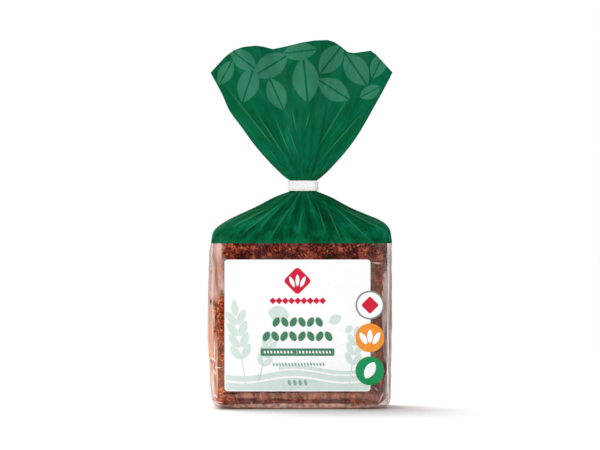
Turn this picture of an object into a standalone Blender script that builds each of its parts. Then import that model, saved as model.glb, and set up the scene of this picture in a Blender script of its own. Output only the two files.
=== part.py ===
# Sliced rye bread in a film bag that is gathered above the bread and held by a clip band.
# Metres, +Z up. The origin is the middle of the flat foot, and -Y is the front with the label.
# The bag is sealed, so it is one solid from its foot to the edge of the gathered top.

import math

import bmesh
import bpy
import numpy as np

MM = 0.001

# Driving dimensions, in millimetres
BAG_WIDTH = 113.0
BAG_DEPTH = 62.0
BREAD_TOP = 110.3
CLIP_LOW = 133.6
CLIP_HEIGHT = 6.4
CLIP_WIDTH = 18.6
CLIP_DEPTH = 8.0
STRIP_THICK = 0.7
CLIP_GAP = 0.3
NECK_SHIFT = 1.1
TOP_CORNER_Z = 207.0
TOP_HALF_WIDTH = 56.4

# Each section of the bag below the clip: height, share of the half width, share of the half depth,
# and squareness, the power of the section's superellipse
BAG_SECTIONS = [
    (0.0, 0.885, 0.800, 7.0),
    (0.7, 0.925, 0.875, 8.0),
    (2.4, 0.948, 0.925, 9.0),
    (6.0, 0.965, 0.960, 10.0),
    (18.0, 0.982, 0.985, 10.0),
    (47.0, 1.000, 1.000, 10.0),
    (80.0, 1.000, 1.000, 10.0),
    (101.3, 0.987, 0.985, 10.0),
    (107.3, 0.968, 0.950, 9.0),
    (BREAD_TOP, 0.934, 0.905, 8.0),
    (113.0, 0.876, 0.835, 7.0),
    (115.6, 0.800, 0.750, 6.0),
    (118.2, 0.708, 0.655, 5.0),
    (123.0, 0.524, 0.490, 4.0),
    (128.0, 0.358, 0.335, 3.4),
    (131.0, 0.256, 0.235, 3.0),
    (133.1, 0.166, 0.135, 2.6),
]

# The gathered top: the edge's rise above its two corners, at shares of the half width
FRONT_EDGE = [
    (-1.00, 0.0),
    (-0.84, 9.8),
    (-0.74, 13.8),
    (-0.64, 15.7),
    (-0.50, 16.7),
    (-0.41, 16.1),
    (-0.32, 14.7),
    (-0.22, 15.7),
    (0.00, 18.3),
    (0.28, 20.0),
    (0.36, 19.0),
    (0.43, 16.6),
    (0.51, 12.8),
    (0.56, 12.1),
    (0.76, 13.5),
    (0.82, 11.0),
    (1.00, 0.0),
]
BACK_EDGE = [
    (-1.00, 0.0),
    (-0.80, 9.5),
    (-0.45, 13.0),
    (-0.10, 17.0),
    (0.40, 15.0),
    (0.74, 12.0),
    (1.00, 0.0),
]
FAN_FLARE = 0.80  # how fast the side edges open: under 1 opens first beside the clip
FAN_BELLY = 0.09  # how much fuller the side edges get towards the top
LEFT_BULGE = 1.7  # how far the left edge swells, where the film is folded over
LEFT_BULGE_AT = 0.64  # the swell's middle and reach, as shares of the fan's height
LEFT_BULGE_REACH = 0.12
FAN_HALF_DEPTH = [(0.0, 3.0), (0.12, 4.8), (0.35, 6.6), (0.7, 5.2), (1.0, 3.4)]
FAN_WAVE = 5.2  # how far the gathered film waves to the front and the back at its edge
WAVE_LENGTH = 0.86  # of one wave, in half widths
WAVE_CREST = 0.10
FLAT_FROM = 0.2  # the fan is a flat lens from this share of its height, and round below it

# Pleats: their rise, how many there are, and how they fade from the bread up to the clip
PLEAT_RISE = 1.5
SHOULDER_PLEATS = 19
FAN_PLEATS = 13
PLEAT_LOW = BREAD_TOP - 8.0
PLEAT_HIGH = CLIP_LOW - 0.8
PLEAT_FADE = [(PLEAT_LOW, 0.0), (117.8, 1.0), (128.8, 0.8), (PLEAT_HIGH, 0.0)]
PLEAT_VALLEY = 0.6  # the share of a pleat's rise that lies under the smooth film

# The clip's details
NECK_POWER = 2.6  # squareness of the neck's section
WIRE_RADIUS = 0.42
WIRE_SINK = 0.2  # how far a wire's middle lies inside the strip's face
WIRE_SHARES = (0.25, 0.75)  # of the strip's height
LAP_LENGTH = 4.6
LAP_THICK = 1.0
LAP_INSET = 0.6

AROUND = 96  # points round each section
BAG_STEPS = 2  # rings between two sections of the bag
FAN_RINGS = 15
FAN_CROWDING = 1.25  # over 1 sets the fan's rings closer together beside the clip
ROUND_END_SIDES = 12


def principled(name, colour, roughness):
    material = bpy.data.materials.new(name)
    material.use_nodes = True
    shader = material.node_tree.nodes["Principled BSDF"]
    shader.inputs["Base Color"].default_value = (*colour, 1.0)
    shader.inputs["Roughness"].default_value = roughness
    shader.inputs["Metallic"].default_value = 0.0
    material.diffuse_color = (*colour, 1.0)
    return material


def along(table, at):
    """The table's second column at a place in its first."""
    return float(np.interp(at, [row[0] for row in table], [row[1] for row in table]))


def unit_section(half_width, half_depth, power, root):
    """A closed section as shares of its half width and depth, its points evenly spaced along it.
    It starts at the middle of the front and goes round by the right side (+X)."""
    turn = np.linspace(0.0, math.pi / 2, 400)
    share_x = np.sin(turn) ** (2.0 / power)
    share_y = (1.0 - share_x**power).clip(0.0) ** root
    step = np.hypot(np.diff(share_x * half_width), np.diff(share_y * half_depth))
    length = np.concatenate([[0.0], np.cumsum(step)])
    places = np.linspace(0.0, length[-1], AROUND // 4 + 1)
    x = np.interp(places, length, share_x)
    y = -np.interp(places, length, share_y)
    quarter = list(zip(x, y))
    half = quarter + [(a, -b) for a, b in reversed(quarter[:-1])]
    return half + [(-a, b) for a, b in reversed(half[1:-1])]


def smoothed(rows, steps):
    """The rows with more rows between them, on a Catmull-Rom curve through them."""
    table = np.array(rows)
    made = []
    for i in range(len(table) - 1):
        before, a = table[max(i - 1, 0)], table[i]
        b, after = table[i + 1], table[min(i + 2, len(table) - 1)]
        for k in range(steps):
            t = k / steps
            bend = 2 * before - 5 * a + 4 * b - after + t * (3 * a - 3 * b + after - before)
            made.append(a + 0.5 * t * (b - before + t * bend))
    return made + [table[-1]]


def bag_rings():
    """The rings of points from the foot to the film bunched under the clip."""
    rings = []
    for z, wide, deep, power in smoothed(BAG_SECTIONS, BAG_STEPS):
        half_width = wide * BAG_WIDTH / 2
        half_depth = deep * BAG_DEPTH / 2
        shift = NECK_SHIFT * np.interp(z, [BREAD_TOP, CLIP_LOW], [0.0, 1.0])
        unit = unit_section(half_width, half_depth, power, 1.0 / power)
        rings.append([(shift + half_width * x, half_depth * y, z) for x, y in unit])
    return rings


def neck_rings():
    """The gathered neck, held inside the clip with a small gap."""
    half_width = CLIP_WIDTH / 2 - STRIP_THICK - CLIP_GAP
    half_depth = CLIP_DEPTH / 2 - STRIP_THICK - CLIP_GAP
    unit = unit_section(half_width, half_depth, NECK_POWER, 1.0 / NECK_POWER)
    heights = (CLIP_LOW - 0.1, CLIP_LOW + CLIP_HEIGHT / 2, CLIP_LOW + CLIP_HEIGHT + 0.1)
    return [[(NECK_SHIFT + half_width * x, half_depth * y, z) for x, y in unit] for z in heights]


def fan_rings():
    """The film above the clip, which opens as a flat fan with waves and a lobed edge."""
    low = CLIP_LOW + CLIP_HEIGHT + 0.5
    neck = CLIP_WIDTH / 2 - STRIP_THICK
    rings = []
    for k in range(FAN_RINGS):
        share = (k / (FAN_RINGS - 1)) ** FAN_CROWDING
        half_width = neck + (TOP_HALF_WIDTH - neck) * share ** (FAN_FLARE - FAN_BELLY * share)
        half_depth = along(FAN_HALF_DEPTH, share)
        lens = min(1.0, share / FLAT_FROM)
        power, root = NECK_POWER - 0.6 * lens, 0.4 + 0.4 * lens
        centre = NECK_SHIFT * (1.0 - share)
        bulge = LEFT_BULGE * math.exp(-(((share - LEFT_BULGE_AT) / LEFT_BULGE_REACH) ** 2))
        pleat_rise = PLEAT_RISE * math.sin(math.pi * min(1.0, share * 1.2) ** 0.6)
        ring = []
        for x, y in unit_section(half_width, half_depth, power, root):
            edge = along(FRONT_EDGE if y <= 0 else BACK_EDGE, x)
            wave = math.cos(2 * math.pi * (x - WAVE_CREST) / WAVE_LENGTH)
            forward = -FAN_WAVE * wave * share * (1.0 - 0.7 * x * x)
            offset = 0.6 if y > 0 else 0.0
            pleat = abs(math.sin(FAN_PLEATS * math.pi * x / 2 + offset)) - PLEAT_VALLEY
            crease = pleat_rise * pleat * (1.0 - x * x) * np.sign(y)
            swell = bulge * max(0.0, -x)
            height = low + share * (TOP_CORNER_Z + edge - low)
            ring.append((centre + half_width * x - swell, forward + half_depth * y + crease, height))
        rings.append(ring)
    return rings


def loft(name, rings, material):
    """One closed mesh through the rings, with a flat foot and a strip that closes the top."""
    mesh = bmesh.new()
    loops = [[mesh.verts.new([c * MM for c in point]) for point in ring] for ring in rings]
    for low, high in zip(loops, loops[1:]):
        for i in range(AROUND):
            j = (i + 1) % AROUND
            mesh.faces.new((low[i], low[j], high[j], high[i]))
    mesh.faces.new(list(reversed(loops[0])))
    top = loops[-1]
    left_to_right = [(-i) % AROUND for i in range(AROUND // 4, -AROUND // 4 - 1, -1)]
    for a, b in zip(left_to_right, left_to_right[1:]):
        behind_a = (AROUND // 2 - a) % AROUND
        behind_b = (AROUND // 2 - b) % AROUND
        corners = [top[a], top[b], top[behind_b], top[behind_a]]
        mesh.faces.new(list(dict.fromkeys(corners)))
    bmesh.ops.recalc_face_normals(mesh, faces=mesh.faces)
    data = bpy.data.meshes.new(name)
    mesh.to_mesh(data)
    mesh.free()
    data.materials.append(material)
    data.shade_smooth()
    part = bpy.data.objects.new(name, data)
    parts.objects.link(part)
    return part


def pleat_shoulders(bag):
    """Raises the creases that run from the neck down over the bread's top edges."""
    mesh = bmesh.new()
    mesh.from_mesh(bag.data)
    mesh.normal_update()
    moves = []
    for vertex in mesh.verts:
        x, y, z = (c / MM for c in vertex.co)
        if not PLEAT_LOW < z < PLEAT_HIGH:
            continue
        turn = math.atan2(x - NECK_SHIFT, -y * BAG_WIDTH / BAG_DEPTH)
        crest = abs(math.sin(turn * SHOULDER_PLEATS / 2)) ** 0.7 - PLEAT_VALLEY
        moves.append((vertex, vertex.normal * (PLEAT_RISE * MM * crest * along(PLEAT_FADE, z))))
    for vertex, move in moves:
        vertex.co += move
    mesh.to_mesh(bag.data)
    mesh.free()


def stadium(curve, half_width, half_depth, centre_x):
    """Adds a closed outline with round ends to a curve."""
    spline = curve.splines.new("POLY")
    points = []
    for side in (1, -1):
        end = centre_x + side * (half_width - half_depth)
        for k in range(ROUND_END_SIDES + 1):
            turn = side * math.pi / 2 - math.pi * k / ROUND_END_SIDES
            points.append((end + half_depth * math.cos(turn), half_depth * math.sin(turn)))
    spline.points.add(len(points) - 1)
    for point, (x, y) in zip(spline.points, points):
        point.co = (x * MM, y * MM, 0.0, 1.0)
    spline.use_cyclic_u = True


def curve_as_mesh(name, curve, height):
    """A curve object made a mesh at a height, with its caps welded."""
    drawn = bpy.data.objects.new(name, curve)
    bpy.context.scene.collection.objects.link(drawn)
    drawn.location.z = height * MM
    bpy.context.view_layer.update()
    evaluated = drawn.evaluated_get(bpy.context.evaluated_depsgraph_get())
    data = bpy.data.meshes.new_from_object(evaluated)
    data.transform(drawn.matrix_world)
    bpy.data.objects.remove(drawn)
    mesh = bmesh.new()
    mesh.from_mesh(data)
    bmesh.ops.remove_doubles(mesh, verts=mesh.verts, dist=1e-6)
    bmesh.ops.recalc_face_normals(mesh, faces=mesh.faces)
    mesh.to_mesh(data)
    mesh.free()
    return bpy.data.objects.new(name, data)


def strip_band():
    """The flat strip of the clip, bent round the neck."""
    outline = bpy.data.curves.new("strip outline", "CURVE")
    outline.dimensions = "2D"
    outline.fill_mode = "BOTH"
    outline.extrude = CLIP_HEIGHT / 2 * MM
    stadium(outline, CLIP_WIDTH / 2, CLIP_DEPTH / 2, NECK_SHIFT)
    stadium(outline, CLIP_WIDTH / 2 - STRIP_THICK, CLIP_DEPTH / 2 - STRIP_THICK, NECK_SHIFT)
    return curve_as_mesh("neck_clip", outline, CLIP_LOW + CLIP_HEIGHT / 2)


def wire_ridge(height):
    """The ridge that a wire inside the strip raises all the way round it."""
    rail = bpy.data.curves.new("wire rail", "CURVE")
    rail.dimensions = "3D"
    rail.bevel_depth = WIRE_RADIUS * MM
    rail.bevel_resolution = 2
    stadium(rail, CLIP_WIDTH / 2 - WIRE_SINK, CLIP_DEPTH / 2 - WIRE_SINK, NECK_SHIFT)
    return curve_as_mesh("wire ridge", rail, height)


def strip_end():
    """The end of the strip, which laps over its own front at the right."""
    bpy.ops.mesh.primitive_cube_add(size=1.0)
    end = bpy.context.active_object
    end.name = "strip end"
    end.scale = (LAP_LENGTH * MM, LAP_THICK * MM, (CLIP_HEIGHT - 0.5) * MM)
    end.location = (
        (NECK_SHIFT + CLIP_WIDTH / 2 - CLIP_DEPTH / 2 - LAP_INSET) * MM,
        (-CLIP_DEPTH / 2 - 0.05) * MM,
        (CLIP_LOW + CLIP_HEIGHT / 2) * MM,
    )
    bpy.context.view_layer.update()
    end.data.transform(end.matrix_world)
    end.matrix_world.identity()
    return end


def neck_clip(material):
    """The clip band: strip, wire ridges and lapped end, joined into one solid."""
    clip = strip_band()
    parts.objects.link(clip)
    joined = bpy.data.collections.new("joined to the clip")
    bpy.context.scene.collection.children.link(joined)
    for share in WIRE_SHARES:
        joined.objects.link(wire_ridge(CLIP_LOW + share * CLIP_HEIGHT))
    end = strip_end()
    for owner in end.users_collection:
        owner.objects.unlink(end)
    joined.objects.link(end)
    union = clip.modifiers.new("union", "BOOLEAN")
    union.operation = "UNION"
    union.operand_type = "COLLECTION"
    union.collection = joined
    bpy.context.view_layer.objects.active = clip
    bpy.ops.object.modifier_apply(modifier=union.name)
    for helper in list(joined.objects):
        bpy.data.objects.remove(helper)
    bpy.data.collections.remove(joined)
    clip.data.materials.clear()
    clip.data.materials.append(material)
    return clip


for thing in list(bpy.data.objects):
    bpy.data.objects.remove(thing)
parts = bpy.data.collections.new("rye bread in its bag")
bpy.context.scene.collection.children.link(parts)

film = principled("printed film", (0.006, 0.120, 0.050), 0.35)
plastic = principled("white plastic", (0.88, 0.90, 0.88), 0.40)

bread_bag = loft("bread_bag", bag_rings() + neck_rings() + fan_rings(), film)
pleat_shoulders(bread_bag)
neck_clip(plastic)
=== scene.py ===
# Sliced dark rye bread in a film bag: the looks of the pack, dressed over its two CAD solids.
# Metres, +Z up, -Y is the front. Every size below is in millimetres unless it says otherwise.

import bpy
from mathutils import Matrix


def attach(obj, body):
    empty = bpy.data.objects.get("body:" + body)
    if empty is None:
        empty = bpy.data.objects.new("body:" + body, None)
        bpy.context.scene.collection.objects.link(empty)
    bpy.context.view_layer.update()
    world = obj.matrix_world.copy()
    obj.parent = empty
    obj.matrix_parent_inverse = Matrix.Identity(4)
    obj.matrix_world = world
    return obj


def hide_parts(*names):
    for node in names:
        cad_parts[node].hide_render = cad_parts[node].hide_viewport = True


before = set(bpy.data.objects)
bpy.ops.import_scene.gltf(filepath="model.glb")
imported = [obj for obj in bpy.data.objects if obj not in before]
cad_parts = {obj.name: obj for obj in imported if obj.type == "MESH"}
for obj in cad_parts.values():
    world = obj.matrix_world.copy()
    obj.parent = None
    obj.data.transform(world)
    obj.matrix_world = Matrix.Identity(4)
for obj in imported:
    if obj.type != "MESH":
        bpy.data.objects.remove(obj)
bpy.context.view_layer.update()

import math
import random

import bmesh
import bpy
import numpy as np
from mathutils import Vector, noise

MM = 0.001

# The bag, with the same sections as the solid that it replaces
BAG_WIDTH = 113.0
BAG_DEPTH = 62.0
PRINT_EDGE = 101.3  # the green print starts here
BREAD_TOP = 110.3
CLIP_LOW = 133.6
CLIP_HEIGHT = 6.4
CLIP_WIDTH = 18.6
CLIP_DEPTH = 8.0
STRIP_THICK = 0.7
NECK_SHIFT = 1.1
TOP_CORNER_Z = 207.0
TOP_HALF_WIDTH = 56.4

# Each section of the bag: height, share of the half width, share of the half depth, squareness
FOOT_SECTIONS = [
    (0.30, 0.800, 0.004, 3.0),
    (0.28, 0.855, 0.200, 4.0),
    (0.25, 0.872, 0.450, 5.0),
    (0.20, 0.880, 0.680, 6.0),
]
BAG_SECTIONS = [
    (0.1, 0.885, 0.800, 7.0),
    (0.7, 0.925, 0.875, 8.0),
    (2.4, 0.948, 0.925, 9.0),
    (6.0, 0.965, 0.960, 10.0),
    (18.0, 0.982, 0.985, 10.0),
    (47.0, 1.000, 1.000, 10.0),
    (80.0, 1.000, 1.000, 10.0),
    (PRINT_EDGE, 0.987, 0.985, 10.0),
]
SHOULDER_SECTIONS = [
    (PRINT_EDGE, 0.987, 0.985, 10.0),
    (107.3, 0.968, 0.950, 9.0),
    (BREAD_TOP, 0.934, 0.905, 8.0),
    (113.0, 0.876, 0.835, 7.0),
    (115.6, 0.800, 0.750, 6.0),
    (118.2, 0.708, 0.655, 5.0),
    (123.0, 0.524, 0.490, 4.0),
    (128.0, 0.358, 0.335, 3.4),
    (131.0, 0.256, 0.235, 3.0),
    (133.1, 0.166, 0.135, 2.6),
    (134.0, 0.148, 0.100, 2.6),
    (139.8, 0.148, 0.100, 2.6),
]

# The gathered top's cut edge: its rise above the two corners, at shares of the half width
FRONT_EDGE = [
    (-1.0, 0.0), (-0.835, 9.8), (-0.738, 13.8), (-0.638, 15.7), (-0.498, 16.7), (-0.415, 16.1),
    (-0.317, 14.7), (-0.218, 15.7), (0.005, 18.3), (0.145, 19.5), (0.287, 20.0), (0.356, 19.0),
    (0.427, 16.6), (0.510, 12.8), (0.553, 12.1), (0.762, 13.5), (0.820, 11.0), (1.0, 0.0),
]
BACK_EDGE = [(-1.0, 0.0), (-0.8, 9.0), (-0.45, 12.5), (-0.1, 16.5), (0.4, 14.0), (0.74, 11.0), (1.0, 0.0)]
FAN_FLARE = 0.80  # the fan's half width grows with its height to this power
FAN_BELLY = 0.09  # and the power drops by this much towards the top
FAN_SWELL = 1.2  # how much fuller both sides of the fan are low down
LEFT_BULGE = 1.7  # how much fuller its left side is, at this share of its height
LEFT_BULGE_AT = 0.64
FAN_HALF_DEPTH = [(0.0, 3.0), (0.12, 4.6), (0.35, 6.2), (0.7, 4.8), (1.0, 3.0)]
FAN_WAVE = 5.0  # how far the fan swings to the front and back, in waves across its half width
WAVE_LENGTH = 0.86
WAVE_CREST = 0.10

# Sharp folds in the clear film's front: two ends (x, z) and how wide the fold is.
# The back repeats them, turned half round. The sides have their own, as (y, z).
CORNER_FOLDS = [
    ((-56.4, 32.6), (-51.6, 28.5), 0.60),
    ((-53.6, 25.5), (-47.8, 25.3), 0.55),
    ((-54.6, 24.8), (-52.0, 20.4), 0.55),
    ((-54.6, 10.0), (-50.8, 6.2), 0.60),
    ((-53.0, 4.6), (-47.4, 3.6), 0.60),
    ((-53.6, 67.0), (-53.3, 46.0), 0.45),
    ((-53.4, 44.0), (-53.0, 27.0), 0.40),
    ((42.5, 89.6), (49.4, 88.8), 0.60),
    ((53.6, 97.0), (53.2, 60.0), 0.50),
    ((52.6, 58.0), (53.4, 24.0), 0.50),
    ((50.6, 11.0), (46.8, 3.0), 0.55),
    ((53.0, 6.6), (45.4, 1.4), 0.60),
    ((44.4, 13.4), (47.0, 10.8), 0.40),
]
# Where the film's edge is folded double it looks dark from in front, so shade is painted dark along it
SHADED_EDGE_FOLDS = [
    ((55.5, 95.4), (55.8, 90.8), 0.55),
    ((56.2, 84.6), (56.3, 81.6), 0.60),
    ((56.0, 80.0), (56.2, 71.0), 0.45),
    ((55.8, 65.0), (56.2, 61.6), 0.60),
    ((-55.4, 68.0), (-55.6, 63.5), 0.80),
    ((-56.2, 30.6), (-54.0, 27.4), 0.55),
    ((-54.6, 7.4), (-53.2, 4.4), 0.60),
]
SIDE_FOLDS = [
    ((-25.0, 2.0), (-15.5, 13.5), 0.45),
    ((-16.4, 12.0), (-10.5, 27.0), 0.40),
    ((24.0, 3.0), (12.0, 12.0), 0.45),
    ((13.2, 10.8), (7.0, 25.0), 0.40),
    ((-23.0, 98.0), (-14.0, 84.0), 0.45),
    ((-14.8, 86.0), (-11.0, 66.0), 0.40),
    ((21.0, 99.0), (11.0, 88.0), 0.45),
    ((12.0, 90.0), (5.5, 62.0), 0.40),
    ((1.4, 3.0), (-1.0, 37.0), 0.45),
    ((-0.8, 34.0), (1.2, 66.0), 0.40),
    ((1.0, 63.0), (-0.8, 99.0), 0.45),
    ((-17.6, 61.0), (-19.0, 38.0), 0.40),
    ((15.6, 56.0), (17.4, 31.0), 0.40),
    ((-6.0, 51.0), (-8.4, 39.0), 0.35),
]
SHOULDER_FOLDS = [
    ((-5.0, 126.3), (-22.8, 99.3), 0.65),
    ((14.5, 126.3), (26.0, 98.8), 0.60),
    ((17.0, 126.8), (46.5, 98.8), 0.65),
    ((9.0, 127.8), (16.5, 101.8), 0.50),
    ((-11.0, 126.8), (-42.0, 102.8), 0.60),
    ((-16.0, 124.8), (-50.0, 107.8), 0.60),
    ((20.0, 125.3), (53.0, 107.8), 0.60),
]
FAN_FOLDS = [
    ((-10.0, 152.0), (-50.6, 203.0), 0.60),
    ((-7.5, 151.0), (-30.5, 186.0), 0.55),
    ((-5.0, 151.0), (-18.5, 184.0), 0.50),
    ((-2.6, 168.0), (-6.5, 186.0), 0.50),
    ((2.0, 171.0), (5.6, 184.0), 0.50),
    ((7.0, 155.0), (33.8, 199.8), 0.60),
    ((9.5, 149.8), (41.0, 186.0), 0.50),
    ((-1.0, 152.0), (-9.5, 176.0), 0.45),
]
LOW_SLACK = 1.2  # how far the film stands off the bread's lower left edge
LEFT_SLACK = 0.85  # how far the film hangs out to the left higher up
RIGHT_PRESS = 1.1  # how far it is pressed in at the right
RIGHT_FULLNESS = 2.4  # how much fuller the right shoulder is
VALLEY = 0.8  # how deep the gusset's fold still shows down the middle of each side
FOLD_RELIEF = 0.35  # how far a fold stands out of the film
RELIEF_WIDTH = 0.9  # the least half width of a fold's relief, which the film's net can carry

CLEAR_COLUMNS = 560  # of film faces round the bag, about 0.6 mm each
GREEN_COLUMNS = 400
CLEAR_ROW = 0.85  # the height of a row of faces
GREEN_ROW = 1.0
FAN_RINGS = 76
FILM_WALL = 0.06

# The bread: seven slices, one behind the other, each with its width, shift to the right and height
SLICES = [
    (103.5, -0.9, 109.1),
    (106.8, -1.1, 108.5),
    (106.4, 0.0, 109.3),
    (107.0, -1.5, 108.1),
    (106.0, -0.3, 109.0),
    (106.6, -1.5, 108.4),
    (103.9, -0.6, 108.9),
]
SLICE_PITCH = 7.9
SLICE_THICK = 7.8
SLICE_LOW = 1.8
SLICE_LAYERS = 6  # of faces through a slice
FINE_GRID = 150  # faces across the two slices that show their whole side
COARSE_GRID = 60
CRUST_DEPTH = 2.2
GROOVE_DEPTH = 1.2

# The printed panel on the front
LABEL_LEFT, LABEL_RIGHT = -47.0, 42.1
LABEL_LOW, LABEL_HIGH = 10.9, 91.4
LABEL_MARGIN = 0.8  # of bare panel round the pale fields
BADGE_X = 41.8
BADGE_HEIGHTS = (63.6, 43.6, 23.4)
BADGE_RADIUS = 8.8

# How far each layer of print stands off the film, so that no two layers touch
PANEL_LIFT, FIELD_LIFT, SHAPE_LIFT, MARK_LIFT, TOP_LIFT = 0.10, 0.22, 0.34, 0.46, 0.58
PRINT_NET = 3.0  # the print is cut into a net this wide, so that it follows the film
IN_FRONT = 40.0  # shapes are drawn this far in front of the middle, before they are laid on


# Colour and nodes


def ink(code):
    """An sRGB hex colour as linear red, green, blue and alpha."""
    shares = [int(code[i : i + 2], 16) / 255 for i in (0, 2, 4)]
    return (*[c / 12.92 if c <= 0.04045 else ((c + 0.055) / 1.055) ** 2.4 for c in shares], 1.0)


def node(material, kind, inputs=None, stops=None, **settings):
    """Adds a shader node with its settings, its inputs and a ramp's stops. An input is a value, a
    socket, or another node, which stands for the first of its outputs that is in use."""
    tree = material.node_tree
    made = tree.nodes.new("ShaderNode" + kind)
    for name, value in settings.items():
        setattr(made, name, value)
    if stops:
        made.color_ramp.elements.remove(made.color_ramp.elements[0])
        made.color_ramp.elements[0].position = stops[0][0]
        made.color_ramp.elements[0].color = ink(stops[0][1])
        for position, colour in stops[1:]:
            made.color_ramp.elements.new(position).color = ink(colour)
    for key, value in (inputs or {}).items():
        if isinstance(value, bpy.types.Node):
            value = next(socket for socket in value.outputs if socket.enabled)
        if isinstance(value, bpy.types.NodeSocket):
            tree.links.new(value, made.inputs[key])
        else:
            made.inputs[key].default_value = value
    return made


def new_material(name):
    """An empty material, and the object's own coordinates for its patterns."""
    material = bpy.data.materials.new(name)
    material.use_nodes = True
    material.node_tree.nodes.clear()
    return material, node(material, "TexCoord").outputs["Object"]


# Modelling


def deselect():
    bpy.ops.object.select_all(action="DESELECT")


def turn_outwards():
    """Points all faces of the piece in edit mode outwards, and leaves edit mode."""
    bpy.ops.mesh.select_all(action="SELECT")
    bpy.ops.mesh.normals_make_consistent(inside=False)
    bpy.ops.object.mode_set(mode="OBJECT")


def choose(piece, wanted, part="verts"):
    """Selects the vertices, edges or faces of the piece in edit mode that the test wants."""
    mesh = bmesh.from_edit_mesh(piece.data)
    for group in (mesh.verts, mesh.edges, mesh.faces):
        for item in group:
            item.select = False
    for item in getattr(mesh, part):
        if wanted(item):
            item.select_set(True)
    bmesh.update_edit_mesh(piece.data)


def finish_piece(piece, name, material, slot, *stands_for):
    """Names a finished piece, gives it its material and lets it ride on the part."""
    piece.name = name
    piece.data.name = name
    piece.data.materials.clear()
    piece.data.materials.append(material)
    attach(piece, "root")
    if stands_for:
        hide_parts(*stands_for)
    return piece


def apply_modifiers(piece):
    deselect()
    piece.select_set(True)
    bpy.context.view_layer.objects.active = piece
    for modifier in list(piece.modifiers):
        bpy.ops.object.modifier_apply(modifier=modifier.name)


# The film


def along(table, at):
    return np.interp(at, [row[0] for row in table], [row[1] for row in table])


def smooth_rows(table, spacing):
    """Rows on a smooth curve through the table's rows, about one spacing apart in height."""
    rows = np.array(table)
    made = []
    for i in range(len(rows) - 1):
        before, a = rows[max(i - 1, 0)], rows[i]
        b, after = rows[i + 1], rows[min(i + 2, len(rows) - 1)]
        steps = max(2, round(abs(b[0] - a[0]) / spacing))
        for k in range(steps):
            t = k / steps
            bend = 2 * before - 5 * a + 4 * b - after + t * (3 * a - 3 * b + after - before)
            made.append(a + 0.5 * t * (b - before + t * bend))
    return made + [rows[-1]]


def unit_section(columns, half_width, half_depth, power, root):
    """A closed section as shares of its half width and depth, evenly spaced along it.
    It starts at the middle of the front and goes round by the right side (+X)."""
    turn = np.linspace(0.0, math.pi / 2, 1600)
    share_x = np.sin(turn) ** (2.0 / power)
    share_y = (1.0 - share_x**power).clip(0.0) ** root
    step = np.hypot(np.diff(share_x * half_width), np.diff(share_y * half_depth))
    length = np.concatenate([[0.0], np.cumsum(step)])
    places = np.linspace(0.0, length[-1], columns // 4 + 1)
    x = np.interp(places, length, share_x)
    y = -np.interp(places, length, share_y)
    half_x = np.concatenate([x, x[-2::-1]])
    half_y = np.concatenate([y, -y[-2::-1]])
    return np.concatenate([half_x, -half_x[-2:0:-1]]), np.concatenate([half_y, half_y[-2:0:-1]])


def bag_grid(sections, spacing, columns):
    """Points of the bag, row by row up it and column by column round it."""
    grid = []
    for z, wide, deep, power in smooth_rows(sections, spacing):
        half_width = wide * BAG_WIDTH / 2
        half_depth = deep * BAG_DEPTH / 2
        shift = NECK_SHIFT * np.interp(z, [BREAD_TOP, CLIP_LOW], [0.0, 1.0])
        x, y = unit_section(columns, half_width, half_depth, power, 1.0 / power)
        row = [shift + half_width * x, half_depth * y, np.full(columns, z)]
        grid.append(np.stack(row, axis=1))
    return np.array(grid)


def fan_grid(columns):
    """Points of the film above the clip, which opens as a flat fan with a lobed edge."""
    low = CLIP_LOW + CLIP_HEIGHT + 0.4
    neck = CLIP_WIDTH / 2 - STRIP_THICK
    grid = []
    for k in range(FAN_RINGS):
        share = (k / (FAN_RINGS - 1)) ** 1.15
        half_width = neck + (TOP_HALF_WIDTH - neck) * share ** (FAN_FLARE - FAN_BELLY * share)
        half_depth = along(FAN_HALF_DEPTH, share)
        lens = min(1.0, share / 0.2)
        x, y = unit_section(columns, half_width, half_depth, 2.6 - 0.6 * lens, 0.4 + 0.4 * lens)
        edge = np.where(y <= 0, along(FRONT_EDGE, x), along(BACK_EDGE, x))
        wave = np.cos(2 * math.pi * (x - WAVE_CREST) / WAVE_LENGTH)
        swell = LEFT_BULGE * (-x).clip(0.0) * math.exp(-(((share - LEFT_BULGE_AT) / 0.12) ** 2))
        half_width += FAN_SWELL * math.exp(-(((share - 0.36) / 0.22) ** 2))
        forward = -FAN_WAVE * wave * share * (1.0 - 0.7 * x * x)
        across = NECK_SHIFT * (1.0 - share) + half_width * x - swell
        height = low + share * (TOP_CORNER_Z + edge - low)
        grid.append(np.stack([across, forward + half_depth * y, height], axis=1))
    return np.array(grid)


def grid_normals(grid):
    """Outward unit normals of a grid of points that closes round its columns."""
    across = np.roll(grid, -1, axis=1) - np.roll(grid, 1, axis=1)
    up = np.gradient(grid, axis=0)
    normal = np.cross(across, up)
    return normal / np.linalg.norm(normal, axis=2, keepdims=True).clip(1e-9)


def facets(seed, count, columns):
    """A folded line round the bag: flat stretches between ridges and valleys at uneven places."""
    chance = random.Random(seed)
    knots = sorted(chance.random() for _ in range(count))
    rises = [chance.uniform(0.35, 1.0) * (1 if k % 2 else -1) for k in range(count)]
    places = [knots[-1] - 1.0, *knots, knots[0] + 1.0]
    heights = [rises[-1], *rises, rises[0]]
    return np.interp(np.arange(columns) / columns, places, heights)


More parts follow.
